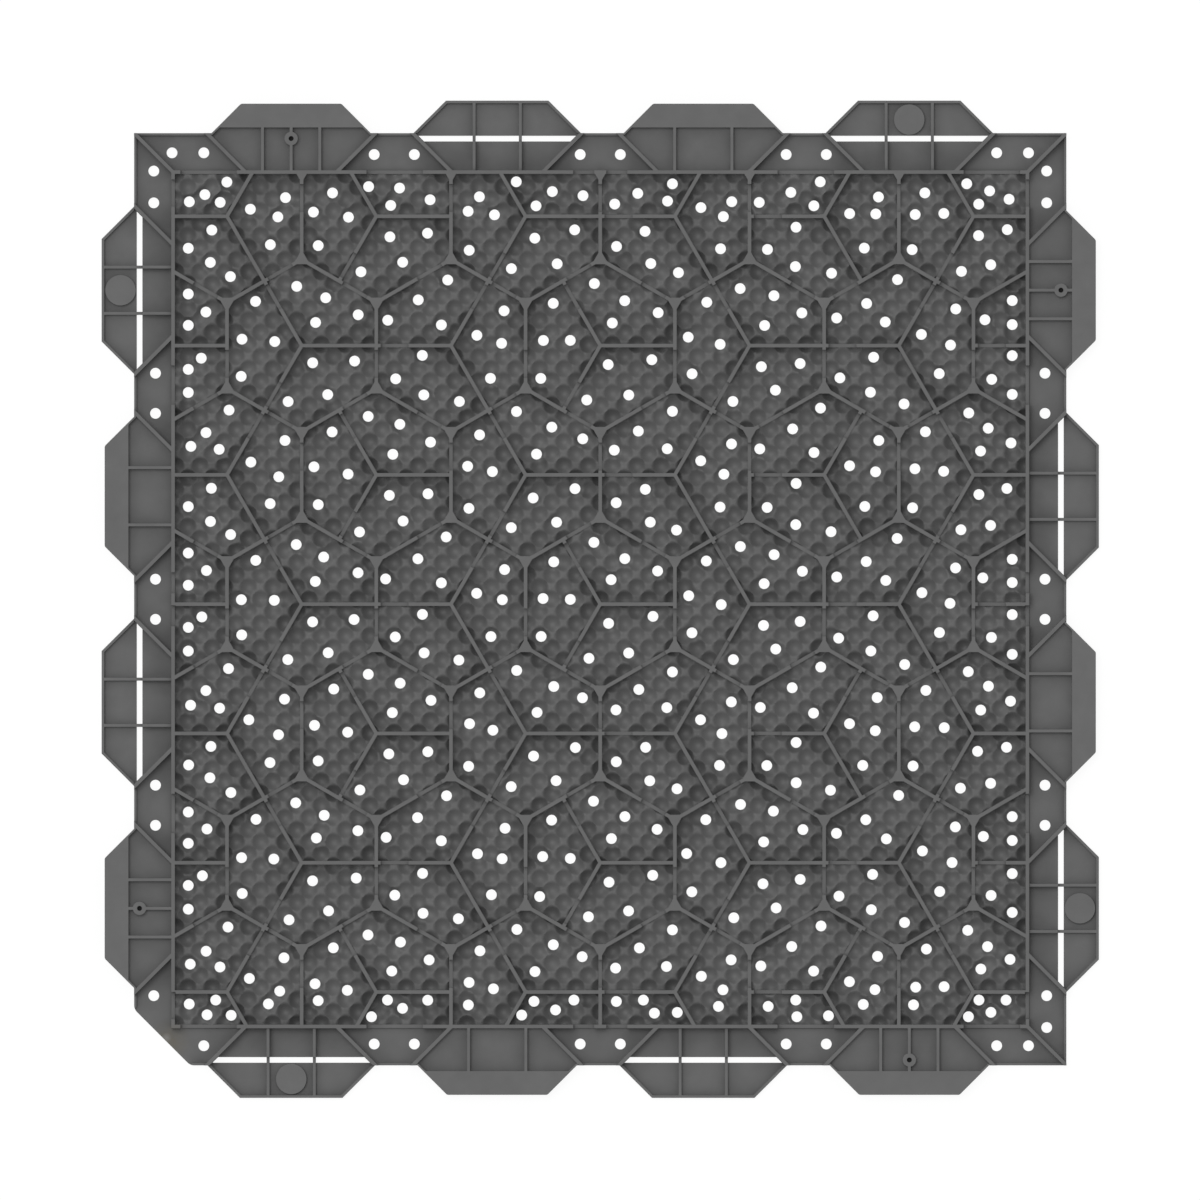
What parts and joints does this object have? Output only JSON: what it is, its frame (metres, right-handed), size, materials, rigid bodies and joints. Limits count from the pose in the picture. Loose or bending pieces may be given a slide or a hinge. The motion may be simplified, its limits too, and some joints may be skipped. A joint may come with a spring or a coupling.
{
  "type": "turf base panel",
  "caption": "Square interlocking base panel for artificial turf, with hexagonal ribs, dished drained pockets, and hooked and slotted tabs in turn along every edge.",
  "frame": {"origin": "centre of the flat turf face, on the level floor that the panel lies on", "axes": "+Z from the turf face to the ribbed face; +Y to the edge that is at the top in the picture, +X to its right; the cut corner is at -X, -Y"},
  "size_m": [0.8152, 0.8152, 0.019],
  "materials": {
    "base_panel": "moulded, fine grain"
  },
  "bodies": {
    "root": {"base_panel": "base_panel"}
  },
  "joints": []
}
